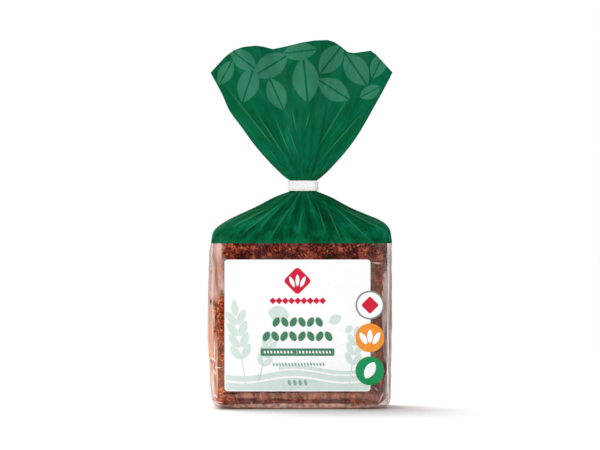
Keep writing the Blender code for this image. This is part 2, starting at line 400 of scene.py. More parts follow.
def fold_relief(grid, normal, front_folds, side_folds=()):
    """How far the folds lift each point of the grid, on the front, the back and both sides."""
    lift = np.zeros(grid.shape[:2])
    for facing, axis, turn, folds in (
        (-normal[..., 1], 0, 1, front_folds),
        (normal[..., 1], 0, -1, front_folds),
        (normal[..., 0], 1, 1, side_folds),
        (-normal[..., 0], 1, -1, side_folds),
    ):
        for start, end, width in folds:
            across = grid[..., axis] - turn * start[0]
            up = grid[..., 2] - start[1]
            run, rise = turn * (end[0] - start[0]), end[1] - start[1]
            length = math.hypot(run, rise)
            share = (across * run + up * rise) / length**2
            away = abs(across * rise - up * run) / length / max(width, RELIEF_WIDTH)
            ends = np.interp(share, [0.0, 0.15, 0.6, 1.0], [0.0, 1.0, 1.0, 0.0])
            lift += np.exp(-(away**2)) * ends * np.clip(facing * 4.0, 0.0, 1.0)
    return lift * FOLD_RELIEF


def film_tube(grid, name, material, slot, wall):
    """A tube of film through the grid, open at both ends, with the given wall or none. The rows and
    columns of a cylinder are drawn onto the grid's points."""
    rows, columns = grid.shape[:2]
    deselect()
    bpy.ops.mesh.primitive_cylinder_add(
        vertices=columns, radius=1.0, depth=1.0, end_fill_type="NOTHING", calc_uvs=False
    )
    tube = bpy.context.object
    bpy.ops.object.mode_set(mode="EDIT")
    choose(tube, lambda edge: abs(edge.verts[0].co.z - edge.verts[1].co.z) > 0.5, "edges")
    bpy.ops.mesh.subdivide(number_cuts=rows - 2)
    bpy.ops.object.mode_set(mode="OBJECT")

    flat = np.empty(len(tube.data.vertices) * 3)
    tube.data.vertices.foreach_get("co", flat)
    flat = flat.reshape(-1, 3)
    turn = np.arctan2(flat[:, 0], flat[:, 1]) / (2 * math.pi)
    column = np.rint(turn * columns).astype(int) % columns
    row = np.rint((flat[:, 2] + 0.5) * (rows - 1)).astype(int)
    tube.data.vertices.foreach_set("co", (grid[row, column] * MM).ravel())

    bpy.ops.object.mode_set(mode="EDIT")
    turn_outwards()
    if wall:
        thick = tube.modifiers.new("film wall", "SOLIDIFY")
        thick.thickness = wall * MM
        thick.offset = -1.0
        apply_modifiers(tube)
    bpy.ops.object.shade_smooth()
    return finish_piece(tube, name, material, slot, "bread_bag")


def clear_film_grid():
    """The clear lower bag: its folded foot, soft waves off the label, and folds at its corners."""
    foot = bag_grid(FOOT_SECTIONS, 0.05, CLEAR_COLUMNS)[:-1]
    grid = np.concatenate([foot, bag_grid(BAG_SECTIONS, CLEAR_ROW, CLEAR_COLUMNS)])
    normal = grid_normals(grid)
    x, y, z = grid[..., 0], grid[..., 1], grid[..., 2]
    waves = np.zeros(x.shape)
    for i, j in np.ndindex(x.shape):
        at = Vector(grid[i, j])
        waves[i, j] = 0.50 * noise.noise(at / 24.0) + 0.30 * noise.noise(at / 8.0 + Vector((7, 3, 5)))
    label_x, label_z = (LABEL_LEFT + LABEL_RIGHT) / 2, (LABEL_LOW + LABEL_HIGH) / 2
    across = abs(x - label_x) / (LABEL_RIGHT - label_x + 2.5)
    edge = np.maximum(across, abs(z - label_z) / (LABEL_HIGH - label_z + 2.5))
    calm = np.where(abs(y) > 22, np.clip((edge - 0.96) * 7.0, 0.0, 1.0), 1.0)
    calm *= np.interp(z, [0.3, 3.0, PRINT_EDGE - 3.0, PRINT_EDGE], [0.0, 1.0, 1.0, 0.0])
    # the film stands off the bread's lower left edge
    slack = LOW_SLACK * np.clip((-x - 49.0) / 5.0, 0.0, 1.0) * np.exp(-(((z - 14.0) / 14.0) ** 2))
    slack *= np.clip(z / 5.0, 0.0, 1.0)
    upright = facets(5, 46, CLEAR_COLUMNS)[None, :] * 0.26
    upright = upright * np.interp(z, [2, 20, 80, PRINT_EDGE], [0.4, 1.0, 1.0, 0.0])
    # each side is a gusset that was folded inwards, so it keeps a shallow valley down its middle
    valley = np.exp(-((y / 5.0) ** 2)) * (abs(x) > 40) * np.interp(z, [2, 14, 84, PRINT_EDGE], [0, 1, 1, 0])
    # higher up the film hangs out at the left, and it is pressed in at the right
    left = LEFT_SLACK * np.interp(z, [22, 38, 58, 92, PRINT_EDGE], [0, 1, 1, 0.35, 0])
    right = RIGHT_PRESS * np.interp(z, [9, 32, 85, 96, PRINT_EDGE], [0, 1, 1, 0.7, 0])
    folds = fold_relief(grid, normal, CORNER_FOLDS, SIDE_FOLDS)
    offset = (waves + upright) * calm - VALLEY * valley + folds * np.clip(z / 3.0, 0.0, 1.0) + slack
    hung = grid + normal * offset[..., None]
    hung[..., 0] -= left * (-x / 50).clip(0.0, 1.0) + right * (x / 50).clip(0.0, 1.0)
    return hung


def printed_film_grid():
    """The green upper bag: the shoulders pleated up to the neck, and the fan above the clip."""
    shoulders = bag_grid(SHOULDER_SECTIONS, GREEN_ROW, GREEN_COLUMNS)
    # the right shoulder is fuller than the left
    above = np.exp(-(((shoulders[..., 2] - 114.5) / 5.0) ** 2))
    shoulders[..., 0] += RIGHT_FULLNESS * above * (shoulders[..., 0] / 45.0).clip(0.0, 1.0)
    grid = np.concatenate([shoulders, fan_grid(GREEN_COLUMNS)])
    normal = grid_normals(grid)
    z = grid[..., 2]
    folds = facets(11, 26, GREEN_COLUMNS)[None, :]
    small = facets(23, 58, GREEN_COLUMNS)[None, :]
    neck_low, neck_high = CLIP_LOW - 0.5, CLIP_LOW + CLIP_HEIGHT + 0.2
    low_folds = np.interp(z, [PRINT_EDGE, 111, 120, 129, neck_low], [0.0, 0.20, 0.60, 0.60, 0.0])
    low_small = np.interp(z, [108, 119, 129, neck_low], [0.0, 0.20, 0.36, 0.0])
    high_folds = np.interp(z, [neck_high, 146, 158, 188, 210], [0.0, 0.42, 0.55, 0.20, 0.05])
    high_small = np.interp(z, [neck_high, 145, 156, 180], [0.0, 0.30, 0.15, 0.0])
    quarter = np.arange(GREEN_COLUMNS) / GREEN_COLUMNS * 4
    fade = np.clip(abs((quarter % 2) - 1) * 8, 0.0, 1.0)[None, :]
    fade = np.where(z > CLIP_LOW, fade, 1.0)
    offset = folds * (low_folds + high_folds) + small * (low_small + high_small)
    offset += fold_relief(grid, normal, SHOULDER_FOLDS + FAN_FOLDS)
    return grid + normal * (offset * fade)[..., None]


# The bread


def slice_of_bread(name, count, y, width, shift, high):
    """A slice: a grid pushed to the loaf's outline, given its thickness and a rough crumb."""
    deselect()
    bpy.ops.mesh.primitive_grid_add(
        x_subdivisions=count, y_subdivisions=count, size=2.0, rotation=(math.pi / 2, 0.0, 0.0)
    )
    bread = bpy.context.object
    bpy.ops.object.transform_apply(location=False, rotation=True, scale=False)
    half_width = width / 2
    half_height = (high - SLICE_LOW) / 2
    for vertex in bread.data.vertices:
        x, z = vertex.co.x, vertex.co.z
        reach = max(abs(x), abs(z))
        power = 14.0 if z > 0 else 22.0
        length = (abs(x) ** power + abs(z) ** power) ** (1.0 / power)
        round_off = reach / length if length > 0 else 1.0
        taper = 1.0 - 0.006 * (1.0 - z)
        vertex.co = (
            (shift + half_width * x * round_off * taper) * MM,
            (y - SLICE_THICK / 2) * MM,
            (SLICE_LOW + half_height * (1.0 + z * round_off)) * MM,
        )
    bpy.ops.object.mode_set(mode="EDIT")
    bpy.ops.mesh.select_all(action="SELECT")
    for _ in range(SLICE_LAYERS):
        step = (0.0, SLICE_THICK / SLICE_LAYERS * MM, 0.0)
        bpy.ops.mesh.extrude_region_move(TRANSFORM_OT_translate={"value": step})
    turn_outwards()
    # the slices lie close together in the bag, with a small groove between their crusts
    groove = bread.modifiers.new("worn crust edge", "BEVEL")
    groove.width = 0.55 * MM
    groove.segments = 2
    groove.limit_method = "ANGLE"
    groove.angle_limit = math.radians(60)
    for scale, strength in ((3.2, 0.5), (1.3, 0.5)):
        grain = bpy.data.textures.new(f"{name} crumb {scale}", "CLOUDS")
        grain.noise_scale = scale * MM
        grain.noise_depth = 2
        rough = bread.modifiers.new("crumb", "DISPLACE")
        rough.texture = grain
        rough.texture_coords = "GLOBAL"
        rough.strength = strength * MM
        rough.mid_level = 0.55
    apply_modifiers(bread)
    bpy.ops.object.shade_smooth()
    mark_crust(bread, y, shift, half_width, half_height)
    keep_inside_film(bread)
    return finish_piece(bread, name, crumb_material, "rye_bread", "bread_bag")


def mark_crust(bread, centre, shift, half_width, half_height):
    """Marks how near each point is to the slice's outline, where the crumb turns to crust, and
    which points of that crust lie in the groove beside the next slice, where shade is painted."""
    middle = SLICE_LOW + half_height
    crust = bread.data.attributes.new("crust", "FLOAT", "POINT").data
    groove = bread.data.attributes.new("groove", "FLOAT", "POINT").data
    for k, vertex in enumerate(bread.data.vertices):
        x, y, z = (c / MM for c in vertex.co)
        depth = min(half_width - abs(x - shift), half_height - abs(z - middle))
        crust[k].value = min(1.0, max(0.0, 1.0 - depth / CRUST_DEPTH))
        beside = abs(y - centre) > SLICE_THICK / 2 - 0.7
        groove[k].value = crust[k].value if beside and depth < GROOVE_DEPTH else 0.0


def keep_inside_film(bread):
    """The film presses the bread's corners in, so no point of it comes through the film."""
    rows = np.array(smooth_rows(BAG_SECTIONS + SHOULDER_SECTIONS[1:4], 1.0))
    for vertex in bread.data.vertices:
        x, y, z = (c / MM for c in vertex.co)
        wide, deep, power = (np.interp(z, rows[:, 0], rows[:, k]) for k in (1, 2, 3))
        half_width = wide * BAG_WIDTH / 2 - 1.0
        half_depth = deep * BAG_DEPTH / 2 - 0.9
        out = ((abs(x) / half_width) ** power + (abs(y) / half_depth) ** power) ** (1.0 / power)
        if out > 1.0:
            vertex.co.x = x / out * MM
            vertex.co.y = y / out * MM


# The printed panel and its shapes


def flat_shape(piece, x, z, turn=0.0):
    """Stands a flat shape, drawn in millimetres on the ground plane, up against the front."""
    for vertex in piece.data.vertices:
        a, b = vertex.co.x, vertex.co.y
        across = a * math.cos(turn) - b * math.sin(turn)
        up = a * math.sin(turn) + b * math.cos(turn)
        vertex.co = ((x + across) * MM, -IN_FRONT * MM, (z + up) * MM)
    return piece


def kernel(x, z, half_length, half_width, turn, point=1.5):
    """A grain kernel: a disc drawn out to a point at both ends."""
    deselect()
    bpy.ops.mesh.primitive_circle_add(vertices=28, radius=1.0, fill_type="NGON")
    shape = bpy.context.object
    for vertex in shape.data.vertices:
        a, b = vertex.co.x, vertex.co.y
        vertex.co = (half_width * math.copysign(abs(a) ** point, a), half_length * b, 0.0)
    return flat_shape(shape, x, z, turn)


def disc(x, z, radius):
    deselect()
    bpy.ops.mesh.primitive_circle_add(vertices=72, radius=radius, fill_type="NGON")
    return flat_shape(bpy.context.object, x, z)


def rounded_bar(x0, z0, x1, z1, corner, turn=0.0):
    """A bar between two corners, with rounded corners."""
    deselect()
    bpy.ops.mesh.primitive_plane_add(size=1.0)
    bar = bpy.context.object
    for vertex in bar.data.vertices:
        vertex.co = (vertex.co.x * (x1 - x0), vertex.co.y * (z1 - z0), 0.0)
    bpy.ops.object.mode_set(mode="EDIT")
    bpy.ops.mesh.select_all(action="SELECT")
    bpy.ops.mesh.bevel(offset=corner, offset_type="OFFSET", segments=6, affect="VERTICES")
    bpy.ops.object.mode_set(mode="OBJECT")
    return flat_shape(bar, (x0 + x1) / 2, (z0 + z1) / 2, turn)


def furrow(x0, x1, low, high, rise, length, start):
    """A band of field between two wavy lines."""
    deselect()
    bpy.ops.mesh.primitive_grid_add(x_subdivisions=40, y_subdivisions=1, size=2.0)
    band = bpy.context.object
    for vertex in band.data.vertices:
        share = (vertex.co.x + 1) / 2
        x = x0 + (x1 - x0) * share
        swing = rise * math.sin(2 * math.pi * (x - start) / length)
        level = (high if vertex.co.y > 0 else low) + swing
        vertex.co = (x, max(level, LABEL_LOW + LABEL_MARGIN), 0.0)
    return flat_shape(band, 0.0, 0.0)


def cereal_ear(x, z, pairs, size, lean):
    """An ear of grain: kernels in pairs up a stalk, which leans by some degrees."""
    tilt = math.radians(lean)
    shapes = []
    for k in range(pairs):
        up = (k + 0.5) * size * 1.35
        for side in (-1, 1):
            out = side * size * 0.62
            across = x + out * math.cos(tilt) - up * math.sin(tilt)
            height = z + out * math.sin(tilt) + up * math.cos(tilt)
            shapes.append(kernel(across, height, size, size * 0.46, tilt - side * 0.55))
    top = (pairs + 0.35) * size * 1.35
    tip_x, tip_z = x - top * math.sin(tilt), z + top * math.cos(tilt)
    shapes.append(kernel(tip_x, tip_z, size, size * 0.42, tilt))
    stalk = rounded_bar(-0.35, -size * 3.2, 0.35, size * 0.3, 0.3)
    for vertex in stalk.data.vertices:
        a, b = vertex.co.x / MM, vertex.co.z / MM
        vertex.co.x = (x + a * math.cos(tilt) - b * math.sin(tilt)) * MM
        vertex.co.z = max((z + a * math.sin(tilt) + b * math.cos(tilt)), LABEL_LOW + LABEL_MARGIN) * MM
    return shapes + [stalk]


def print_piece(shapes, name, material, lift):
    """Joins flat shapes of one colour, cuts them into a fine net and lays them on the film."""
    deselect()
    for shape in shapes:
        shape.select_set(True)
    bpy.context.view_layer.objects.active = shapes[0]
    if len(shapes) > 1:
        bpy.ops.object.join()
    piece = bpy.context.view_layer.objects.active
    bpy.ops.object.mode_set(mode="EDIT")
    points = np.array([vertex.co for vertex in bmesh.from_edit_mesh(piece.data).verts], dtype=float)
    step = PRINT_NET * MM
    for values, normal in ((points[:, 0], (1, 0, 0)), (points[:, 2], (0, 0, 1))):
        level = math.floor(min(values) / step) * step + step
        while level < max(values):
            bpy.ops.mesh.select_all(action="SELECT")
            bpy.ops.mesh.bisect(plane_co=[level * n for n in normal], plane_no=normal)
            level += step
    turn_outwards()
    lay = piece.modifiers.new("lay on the film", "SHRINKWRAP")
    lay.target = clear_film
    lay.wrap_method = "PROJECT"
    lay.use_project_y = True
    lay.use_positive_direction = True
    lay.use_negative_direction = False
    apply_modifiers(piece)
    for vertex in piece.data.vertices:
        vertex.co.y -= lift * MM
    if sum(face.normal.y for face in piece.data.polygons) > 0:
        piece.data.flip_normals()
    wall = piece.modifiers.new("ink and film", "SOLIDIFY")
    wall.thickness = FILM_WALL * MM
    wall.offset = -1.0
    apply_modifiers(piece)
    return finish_piece(piece, name, material, "label_print")


# Materials


def fold_lines(material, place, folds, plane, reach, on_side=False):
    """How strongly a point lies on a fold: each is a drawn-out grain about a straight line, which
    reaches some way to both sides of the film's plane."""
    strongest = None
    for (a, low), (b, high), width in folds:
        half = math.hypot(b - a, high - low) / 2
        lean = math.atan2(high - low, b - a)
        middle, up = (a + b) / 2 * MM, (low + high) / 2 * MM
        spots = {
            "Vector": place,
            "Location": (plane * MM, middle, up) if on_side else (middle, plane * MM, up),
            "Rotation": (lean, 0.0, 0.0) if on_side else (0.0, -lean, 0.0),
            "Scale": [s * MM for s in ((reach, half, width) if on_side else (half, reach, width))],
        }
        share = node(material, "Mapping", spots, vector_type="TEXTURE")
        grain = node(material, "TexGradient", {0: share}, gradient_type="SPHERICAL")
        if strongest is None:
            strongest = grain.outputs["Fac"]
        else:
            strongest = node(material, "Math", {0: strongest, 1: grain.outputs["Fac"]}, operation="MAXIMUM")
    limits = {"Value": strongest, "From Max": 0.6}
    return node(material, "MapRange", limits, interpolation_type="SMOOTHSTEP")


def turned_round(material, place, by, sign):
    """The place turned half round the bag's middle where the named coordinate has that sign, so
    that the back repeats the front, or the left side the right."""
    part = node(material, "SeparateXYZ", {0: place}).outputs[by]
    signed = node(material, "Math", {0: part, 1: float(sign)}, operation="MULTIPLY")
    turn = node(material, "Math", {0: signed}, operation="SIGN")
    factors = node(material, "CombineXYZ", {0: turn, 1: turn, 2: 1.0})
    return node(material, "VectorMath", {0: place, 1: factors}, operation="MULTIPLY")


ZONE_REACH = 7.5  # how far a zone reaches round the corner to the side

# Places on the front where the film is pressed to the bread or stands off it: x, z, half width,
# half height, share of milky film, and its tone from 0, grey, by 0.5, pink, to 1, orange. The grey
# is painted shade, where film stands off with no bread behind it
FILM_ZONES = [
    (-51.5, 94.0, 6.2, 9.0, 0.67, 0.48),
    (-52.5, 78.0, 6.0, 12.5, 0.72, 0.48),
    (-51.0, 84.0, 2.0, 13.0, 0.60, 0.62),
    (-55.4, 38.0, 1.9, 36.0, 0.84, 1.00),
    (-52.4, 22.0, 1.8, 26.0, 0.74, 0.70),
    (-49.3, 56.0, 2.6, 15.0, 0.02, 0.90),
    (-49.0, 26.0, 2.4, 18.0, 0.20, 0.86),
    (-41.0, 96.5, 7.5, 7.0, 0.00, 0.60),
    (6.0, 96.5, 42.0, 7.0, 0.02, 0.40),
    (-44.0, 6.2, 8.0, 4.0, 0.06, 0.80),
    (0.0, 8.0, 50.0, 1.9, 0.38, 0.82),
    (0.0, 4.4, 50.0, 1.2, 0.12, 0.60),
    (0.0, 1.5, 53.0, 1.9, 0.74, 0.60),
    (0.0, 0.1, 53.0, 0.8, 0.95, 0.60),
    (-51.5, 2.4, 3.2, 2.0, 0.74, 0.52),
    (47.6, 60.0, 3.4, 36.0, 0.14, 0.70),
    (54.6, 54.0, 2.6, 64.0, 0.74, 0.10),
    (51.4, 58.0, 2.0, 27.0, 0.66, 0.22),
    (52.6, 10.0, 2.6, 12.0, 0.60, 0.12),
]


def clear_film_material():
    """Clear polypropylene film, cast and slightly milky. Where it lies on the bread it is wet with
    fat and nearly invisible. Where it stands off, it veils the bread in pale pink, and in grey as
    painted shade; its folds are painted pale where they catch the light, and the double folds at its
    edge are painted dark as shade."""
    film, place = new_material("clear polypropylene film")
    # the slack in the film runs up the bag, in folds about 16 mm wide and 40 mm tall
    drawn = node(film, "VectorMath", {0: place, 1: (62.0, 62.0, 25.0)}, operation="MULTIPLY")
    cloud = node(film, "TexNoise", {0: drawn, "Scale": 1.0, "Detail": 3.0})
    # crinkles of about 4 mm, as coarse as they need to be to show
    crinkle = node(film, "TexNoise", {0: place, "Scale": 240.0, "Detail": 3.0})
    slack = {"Value": cloud, "From Min": 0.38, "From Max": 0.66, "To Min": 0.03, "To Max": 0.21}
    veil = node(film, "MapRange", slack, interpolation_type="SMOOTHSTEP")
    # it is warmer in tone on the left than on the right, where it leans to the grey of painted shade
    across = node(film, "SeparateXYZ", {0: place}).outputs["X"]
    warmer = {"From Min": -0.045, "From Max": 0.05, "To Min": 0.56, "To Max": 0.44}
    warm = node(film, "MapRange", {"Value": across, **warmer})
    milk = node(film, "CombineXYZ", {0: veil, 1: warm})
    for x, z, wide, tall, share, tone in FILM_ZONES:
        spot = {
            "Vector": place,
            "Location": (x * MM, -BAG_DEPTH / 2 * MM, z * MM),
            "Scale": (wide * MM, ZONE_REACH * MM, tall * MM),
        }
        inner = node(film, "Mapping", spot, vector_type="TEXTURE")
        far = node(film, "VectorMath", {0: inner}, operation="LENGTH")
        edge = node(film, "Math", {0: crinkle, 1: 0.8, 2: far}, operation="MULTIPLY_ADD")
        fade = {"Value": edge, "From Min": 1.70, "From Max": 1.10}
        inside = node(film, "MapRange", fade, interpolation_type="SMOOTHSTEP")
        milk = node(film, "Mix", {0: inside, 4: milk, 5: (share, tone, 0.0)}, data_type="VECTOR")
    parts = node(film, "SeparateXYZ", {0: milk})
    # fine strands up the film, 2 mm wide and 20 mm tall, break the milk into lighter and darker
    pulled = node(film, "VectorMath", {0: place, 1: (430.0, 430.0, 50.0)}, operation="MULTIPLY")
    strand = node(film, "TexNoise", {0: pulled, "Scale": 1.0, "Detail": 3.0})
    uneven = {"Value": strand, "From Min": 0.34, "From Max": 0.66, "To Min": 0.72, "To Max": 1.22}
    thinner = node(film, "MapRange", uneven)
    milky = node(film, "Math", {0: parts.outputs["X"], 1: thinner}, operation="MULTIPLY")
    front = turned_round(film, place, "Y", -1)
    flank = turned_round(film, place, "X", 1)
    corner_lines = fold_lines(film, front, CORNER_FOLDS, -29.0, 13.0)
    side_lines = fold_lines(film, flank, SIDE_FOLDS, 54.0, 12.0, on_side=True)
    faint = node(film, "Math", {0: side_lines, 1: 0.5}, operation="MULTIPLY")
    lines = node(film, "Math", {0: corner_lines, 1: faint}, operation="MAXIMUM")
    # painted shade: where the double folds at the film's edge lie
    marks = fold_lines(film, front, SHADED_EDGE_FOLDS, -27.0, 6.0)
    # seen edge on, the film is looked through lengthways and hides more of what lies behind
    lean = node(film, "LayerWeight", {"Blend": 0.5})
    grazing = {"Value": lean.outputs["Facing"], "From Min": 0.35, "From Max": 0.95, "To Max": 0.34}
    rim = node(film, "MapRange", grazing, interpolation_type="SMOOTHSTEP")
    with_rim = node(film, "Math", {0: milky, 1: rim}, operation="ADD")
    with_lines = node(film, "Math", {0: lines, 1: 0.42, 2: with_rim}, operation="MULTIPLY_ADD")
    with_marks = {0: marks, 1: 0.6, 2: with_lines}
    covered = node(film, "Math", with_marks, operation="MULTIPLY_ADD", use_clamp=True)
    # the grey end of the tones is painted shade
    tones = [(0.0, "9B9695"), (0.5, "F3C8BC"), (1.0, "F2A273")]
    tone = node(film, "ValToRGB", {"Fac": parts.outputs["Y"]}, stops=tones)
    clouded = node(film, "ValToRGB", {"Fac": strand}, stops=[(0.34, "D6CECC"), (0.62, "FFFFFF")])
    strands = node(film, "Mix", {0: 1.0, 6: tone, 7: clouded}, data_type="RGBA", blend_type="MULTIPLY")
    lit = node(film, "Mix", {0: lines, 6: strands, 7: ink("FFE9DD")}, data_type="RGBA")
    # painted shade along the double folds at the film's edge
    dark = node(film, "Mix", {0: marks, 6: lit, 7: ink("5A4640")}, data_type="RGBA")
    bump = node(film, "Bump", {"Height": crinkle, "Strength": 0.22, "Distance": 0.0006})
    looks = {"Base Color": dark, "Roughness": 0.18, "Specular IOR Level": 0.35, "Normal": bump}
    body = node(film, "BsdfPrincipled", looks)
    through = node(film, "BsdfTransparent", {"Color": ink("FAF8F7")})
    mix = node(film, "MixShader", {0: covered, 1: through, 2: body})
    node(film, "OutputMaterial", {"Surface": mix})
    return film


# Pale kernels in the green print of the fan: x, z, half length, half width, turn in degrees
FAN_MOTIFS = [
    (-47.0, 206.8, 9.0, 4.6, 30),
    (-36.0, 214.8, 10.5, 5.6, -52),
    (-33.0, 199.3, 12.0, 6.6, 18),
    (-19.0, 211.3, 13.0, 7.2, 58),
    (-15.5, 193.8, 11.0, 6.0, -24),
    (-1.0, 219.8, 11.0, 5.6, 84),
    (2.5, 202.3, 14.5, 8.2, -6),
    (18.5, 215.3, 12.0, 6.6, 38),
    (20.0, 196.3, 12.0, 6.6, -58),
    (34.0, 208.8, 12.5, 7.2, -34),
    (47.5, 211.3, 9.0, 4.8, 24),
    (42.5, 194.8, 7.5, 4.2, 62),
]


def motif_mask(film, place):
    """1 inside the pale kernels, with a groove left down the middle of each."""
    mask = None
    for x, z, long, wide, turn in FAN_MOTIFS:
        spot = {
            "Vector": place,
            "Location": (x * MM, 0.0, z * MM),
            "Rotation": (0.0, math.radians(turn), 0.0),
            "Scale": (wide * MM, 1.0, long * MM),
        }
        inner = node(film, "Mapping", spot, vector_type="TEXTURE")
        part = node(film, "SeparateXYZ", {0: inner})
        off_line = node(film, "Math", {0: part.outputs["X"]}, operation="ABSOLUTE")
        groove = node(film, "MapRange", {"Value": off_line, "From Min": 0.05, "From Max": 0.11})
        # a kernel's outline is two arcs that meet at a point: off the line plus height squared is 1
        arcs = {0: part.outputs["Z"], 1: part.outputs["Z"], 2: off_line}
        far = node(film, "Math", arcs, operation="MULTIPLY_ADD")
        inside = node(film, "MapRange", {"Value": far, "From Min": 1.03, "From Max": 0.96})
        shape = node(film, "Math", {0: inside, 1: groove}, operation="MULTIPLY")
        if mask is None:
            mask = shape
        else:
            mask = node(film, "Math", {0: mask, 1: shape}, operation="MAXIMUM")
    return mask


def printed_film_material():
    """Polypropylene film, printed in solid green. It is satin, and it carries large pale kernels near
    its edge. Painted light and shade streak it along its creases, darker below the clip, and its folds
    are painted paler as highlights."""
    film, place = new_material("green printed polypropylene film")
    height = node(film, "SeparateXYZ", {0: place}).outputs["Z"]
    # the film's creases all run out from the neck, so the streaks, painted light and shade of those
    # creases, follow the rays from it
    neck = (NECK_SHIFT * MM, 0.0, 136.8 * MM)
    ray = node(film, "VectorMath", {0: place, 1: neck}, operation="SUBTRACT")
    away = node(film, "VectorMath", {0: ray}, operation="NORMALIZE")
    drift = node(film, "VectorMath", {0: ray, 1: (5.0, 5.0, 5.0), 2: away}, operation="MULTIPLY_ADD")
    fine = {0: drift, "Scale": 17.0, "Detail": 5.0, "Roughness": 0.62, "Distortion": 0.10}
    streak = node(film, "TexNoise", fine)
    slow = node(film, "VectorMath", {0: ray, 1: (6.0, 6.0, 6.0), 2: away}, operation="MULTIPLY_ADD")
    wide = {0: slow, "Scale": 5.0, "Detail": 3.0, "Roughness": 0.5, "Distortion": 0.2}
    broad = node(film, "TexNoise", wide)
    both = node(film, "Mix", {0: 0.5, 2: broad, 3: streak}, data_type="FLOAT")
    # below the clip the green is painted darker and its streaks stronger: painted shade on the shoulders
    # and in their folds, and a little dark bread showing through the film
    below = {"Value": height, "From Min": 0.128, "From Max": 0.146, "To Min": 1.8, "To Max": 0.85}
    depth = node(film, "MapRange", below)
    swing = node(film, "Math", {0: both, 1: 0.5}, operation="SUBTRACT")
    deeper = node(film, "Math", {0: swing, 1: depth}, operation="MULTIPLY")
    level = {"Value": height, "From Min": 0.118, "From Max": 0.150, "To Min": 0.47, "To Max": 0.52}
    ground = node(film, "MapRange", level)
    shade = node(film, "Math", {0: deeper, 1: ground}, operation="ADD")
    greens = [(0.34, "004527"), (0.46, "005A36"), (0.56, "006542"), (0.68, "127655")]
    green = node(film, "ValToRGB", {"Fac": shade}, stops=greens)
    pales = [(0.32, "296F52"), (0.52, "337C5E"), (0.70, "418A6E")]
    pale = node(film, "ValToRGB", {"Fac": shade}, stops=pales)
    print_colour = node(film, "Mix", {0: motif_mask(film, place), 6: green, 7: pale}, data_type="RGBA")
    # painted highlight: the folds are painted a paler green, where they catch the light
    lines = fold_lines(film, turned_round(film, place, "Y", -1), SHOULDER_FOLDS + FAN_FOLDS, -12.0, 40.0)
    soft = node(film, "Math", {0: lines, 1: 0.55}, operation="MULTIPLY")
    tone = node(film, "Mix", {0: soft, 6: print_colour, 7: ink("3C8A69")}, data_type="RGBA")
    bump = node(film, "Bump", {"Height": streak, "Strength": 0.2, "Distance": 0.0008})
    looks = {"Base Color": tone, "Roughness": 0.42, "Specular IOR Level": 0.04, "Normal": bump}
    body = node(film, "BsdfPrincipled", looks)
    node(film, "OutputMaterial", {"Surface": body})
    return film


def rye_crumb_material():
    """Dark rye crumb, cut by a blade: damp, dense, with pores painted nearly black as the shade in
    them, brown crumb and paler cracked grains. Near the outline it turns to a darker, closed crust,
    with painted shade in the groove beside the next slice and painted light on the loaf's left edge."""
    bread, place = new_material("dark rye crumb, sliced")
    # crumb clumps of 7 mm, crumbs of 1.2 mm and pores of about 1.5 mm
    patch = node(bread, "TexNoise", {0: place, "Scale": 145.0, "Detail": 3.0, "Roughness": 0.6})
    fine = node(bread, "TexNoise", {0: place, "Scale": 800.0, "Detail": 3.0, "Roughness": 0.7})
    mottle = node(bread, "Mix", {0: 0.46, 2: patch, 3: fine}, data_type="FLOAT")
    browns = [(0.42, "160000"), (0.465, "400604"), (0.51, "6C1C12"), (0.555, "923C29"), (0.63, "CE7850")]
    crumb = node(bread, "ValToRGB", {"Fac": mottle}, stops=browns)
    # cracked rye grains of about 2 mm, each of its own brown
    grain = node(bread, "TexVoronoi", {0: place, "Scale": 430.0, "Randomness": 1.0})
    cell = node(bread, "SeparateColor", {"Color": grain.outputs["Color"]})
    chosen = node(bread, "MapRange", {"Value": cell, "From Min": 0.78, "From Max": 0.86})
    kernel_edge = node(bread, "MapRange", {"Value": grain, "From Min": 0.42, "From Max": 0.30})
    kernels = node(bread, "Math", {0: chosen, 1: kernel_edge}, operation="MULTIPLY")
    grain_tones = [(0.0, "7E3320"), (0.6, "B4643C"), (1.0, "D8956A")]
    grain_tone = node(bread, "ValToRGB", {"Fac": cell.outputs[1]}, stops=grain_tones)
    with_grains = node(bread, "Mix", {0: kernels, 6: crumb, 7: grain_tone}, data_type="RGBA")
    pores = node(bread, "TexVoronoi", {0: place, "Scale": 300.0, "Randomness": 1.0})
    pore = node(bread, "MapRange", {"Value": pores, "From Min": 0.26, "From Max": 0.14})
    # painted shade: the pores are painted nearly black, as the shade in their hollows
    pored = node(bread, "Mix", {0: pore, 6: with_grains, 7: ink("240302")}, data_type="RGBA")
    # painted light: the left edge of the loaf is painted lighter, to a bright orange brown, as where the
    # light falls on it from the left
    part = node(bread, "SeparateXYZ", {0: place})
    left = node(bread, "MapRange", {"Value": part.outputs["X"], "From Min": -0.038, "From Max": -0.0500})
    more = {0: pored, 1: (2.05, 2.8, 2.2), 2: (0.085, 0.021, 0.007)}
    lighter = node(bread, "VectorMath", more, operation="MULTIPLY_ADD")
    warm = node(bread, "Mix", {0: left, 6: pored, 7: lighter}, data_type="RGBA")
    rind = node(bread, "Attribute", attribute_name="crust")
    reach = {"Value": rind.outputs["Fac"], "From Min": 0.3, "From Max": 1.0, "To Max": 0.5}
    crust = node(bread, "MapRange", reach)
    baked = node(bread, "Mix", {0: crust, 6: warm, 7: ink("5C2415")}, data_type="RGBA")
    # painted shade: the crust in the groove beside the next slice is painted nearly black, as the shade
    # between the slices
    between = node(bread, "Attribute", attribute_name="groove")
    dark = node(bread, "MapRange", {"Value": between.outputs["Fac"], "To Max": 0.85})
    colour = node(bread, "Mix", {0: dark, 6: baked, 7: ink("1C0604")}, data_type="RGBA")
    relief = node(bread, "Math", {0: mottle, 1: pore}, operation="SUBTRACT")
    bump = node(bread, "Bump", {"Height": relief, "Strength": 0.6, "Distance": 0.0007})
    looks = {"Base Color": colour, "Roughness": 0.6, "Specular IOR Level": 0.08, "Normal": bump}
    body = node(bread, "BsdfPrincipled", looks)
    node(bread, "OutputMaterial", {"Surface": body})
    return bread


